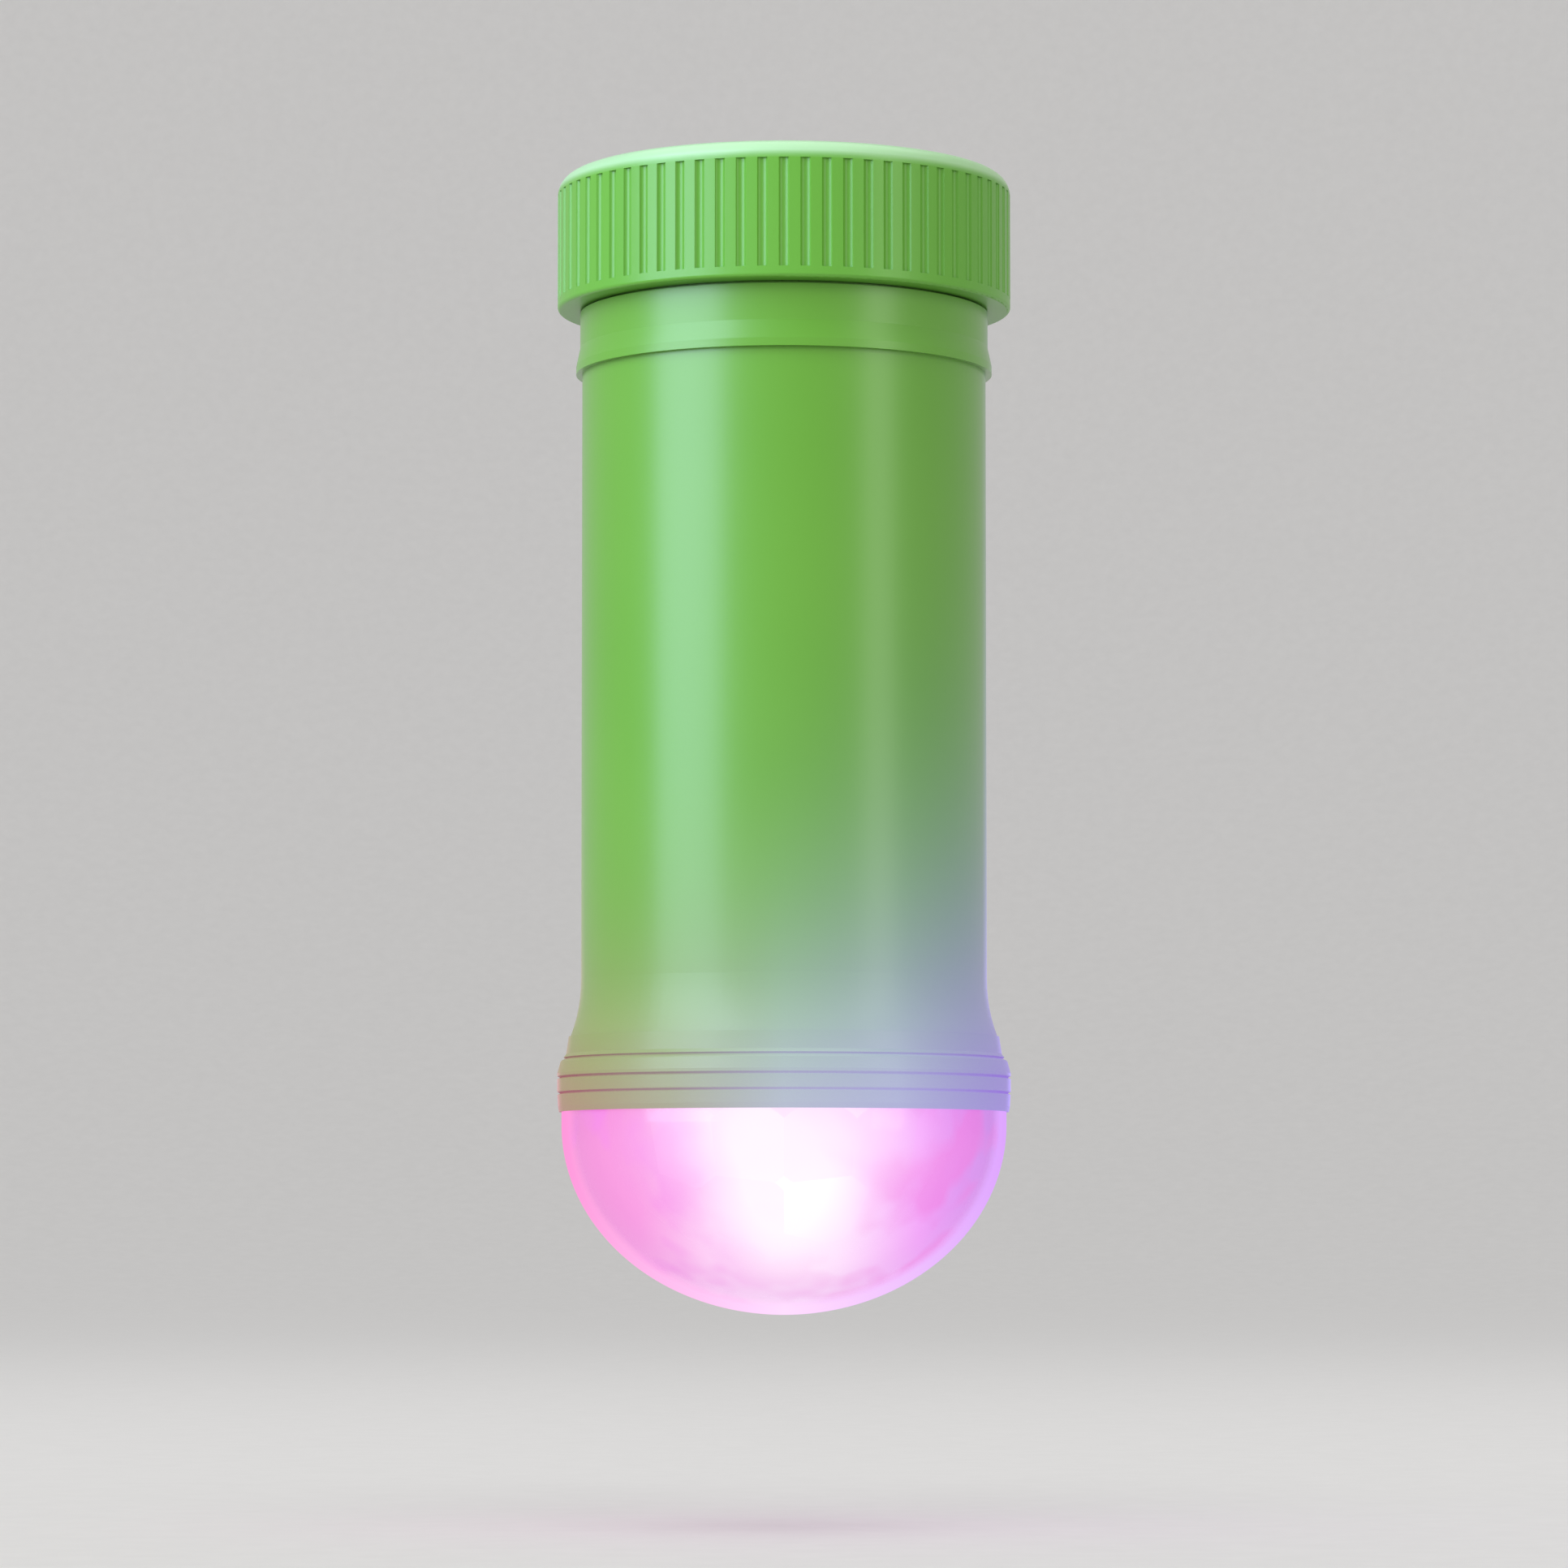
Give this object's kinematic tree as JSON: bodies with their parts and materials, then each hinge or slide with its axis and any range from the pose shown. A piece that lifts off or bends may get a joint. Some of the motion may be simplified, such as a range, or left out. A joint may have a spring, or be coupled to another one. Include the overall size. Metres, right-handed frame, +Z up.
{
  "type": "bike light",
  "caption": "Handlebar bike light: green cylinder with a ribbed screw cap and button on top, a clear dome over a motor-turned faceted lens below, and a hinged bar clamp.",
  "frame": {"origin": "centre of the handlebar clamp's bore", "axes": "+X along the handlebar, +Z up along the light, -Y towards the light in front of the bar"},
  "size_m": [0.0522, 0.0951, 0.1312],
  "materials": {
    "green_moulding": "satin",
    "green_button": "matte",
    "clear_plastic": "clear",
    "lens_plastic": "faceted",
    "black_rubber": "matte",
    "black_moulding": "fine moulded texture",
    "white_moulding": "satin",
    "black_carrier": "satin",
    "mirror_finish": "plated",
    "circuit_board": "lacquered",
    "lamp_red": "clear tinted",
    "lamp_green": "clear tinted",
    "lamp_blue": "clear tinted",
    "steel": "plated",
    "steel_case": "drawn can",
    "brass": "bright",
    "cell_sleeve": "plain sleeve"
  },
  "bodies": {
    "light_body": {"body_tube": "green_moulding", "bezel_ring": "green_moulding", "clear_dome": "clear_plastic", "dome_seal": "black_rubber", "cap_seal": "black_rubber", "reflector": "mirror_finish", "led_board": "circuit_board", "led_red": "lamp_red", "led_green": "lamp_green", "led_blue": "lamp_blue", "lamp_screws": "steel", "gear_axle": "steel", "motor_can": "steel_case", "motor_end_bell": "white_moulding", "motor_terminals": "brass", "motor_screws": "steel", "gear_plate": "white_moulding", "motor_plate": "white_moulding", "plate_screws": "steel", "bulkhead": "black_carrier", "bulkhead_contact": "brass", "contact_strip": "steel", "carrier_frame": "black_carrier", "carrier_contacts": "brass", "battery_cell_1": "cell_sleeve", "battery_cell_2": "cell_sleeve", "battery_cell_3": "cell_sleeve", "mount_shoe": "black_moulding", "shoe_screws": "steel", "bracket": "black_moulding", "tab_pin": "steel", "tab_spring": "steel", "hinge_pin": "steel", "bar_liner_front": "black_rubber", "captive_nut": "steel"},
    "lens": {"lens_rotor": "lens_plastic", "rotor_spindle": "steel", "output_gear": "white_moulding"},
    "compound": {"compound_gear": "white_moulding"},
    "motor_rotor": {"motor_shaft": "steel", "motor_pinion": "brass"},
    "cap_disc": {"contact_disc": "circuit_board", "ring_contact": "brass", "centre_contact": "brass"},
    "cap": {"screw_cap": "green_moulding", "switch_holder": "white_moulding", "switch_board": "circuit_board", "switch_housing": "white_moulding", "button_spring": "steel"},
    "cap_button": {"cap_button": "green_button", "switch_plunger": "white_moulding"},
    "release_tab": {"release_tab": "black_moulding"},
    "clamp_jaw": {"clamp_jaw": "black_moulding", "bar_liner_rear": "black_rubber"},
    "washer": {"washer": "steel"},
    "clamp_screw": {"clamp_screw": "steel", "clamp_knob": "black_moulding"}
  },
  "joints": [
    {"name": "lens_spin", "type": "hinge", "parent": "light_body", "child": "lens", "pos_m": [0, -0.051, 0], "axis": [0, 0, 1], "continuous": true},
    {"name": "compound_spin", "type": "hinge", "parent": "light_body", "child": "compound", "pos_m": [0, -0.041, 0], "axis": [0, 0, 1], "continuous": true},
    {"name": "motor_spin", "type": "hinge", "parent": "light_body", "child": "motor_rotor", "pos_m": [0, -0.0502, 0], "axis": [0, 0, 1], "continuous": true},
    {"name": "cap_lift", "type": "slide", "parent": "light_body", "child": "cap_disc", "axis": [0, 0, 1], "range_m": [0, 0.00525]},
    {"name": "cap_turn", "type": "hinge", "parent": "cap_disc", "child": "cap", "pos_m": [0, -0.051, 0], "axis": [0, 0, 1], "range_deg": [0, 630.05]},
    {"name": "button_press", "type": "slide", "parent": "cap", "child": "cap_button", "axis": [0, 0, 1], "range_m": [-0.001, 0], "stiffness_N_per_m": 800, "deforming": ["button_spring"]},
    {"name": "tab_press", "type": "hinge", "parent": "light_body", "child": "release_tab", "pos_m": [0, -0.0162, -0.0265], "axis": [-1, 0, 0], "range_deg": [0, 15], "stiffness_Nm_per_rad": 0.02, "deforming": ["tab_spring"]},
    {"name": "washer_slide", "type": "slide", "parent": "light_body", "child": "washer", "axis": [0, 1, 0], "range_m": [0, 0.004]},
    {"name": "screw_turn", "type": "hinge", "parent": "washer", "child": "clamp_screw", "pos_m": [0, 0, -0.026], "axis": [0, 1, 0], "range_deg": [0, 1800.05]},
    {"name": "jaw_swing", "type": "hinge", "parent": "light_body", "child": "clamp_jaw", "pos_m": [0, 0, 0.0222], "axis": [1, 0, 0], "range_deg": [0, 4.1]}
  ],
  "couplings": [
    {"joint": "compound_spin", "follows": "lens_spin", "ratio": -4},
    {"joint": "motor_spin", "follows": "lens_spin", "ratio": 14.4},
    {"joint": "cap_turn", "follows": "cap_lift", "rad_per_m": 2094.4},
    {"joint": "screw_turn", "follows": "washer_slide", "rad_per_m": 7854},
    {"joint": "jaw_swing", "follows": "washer_slide", "rad_per_m": 17.857}
  ]
}
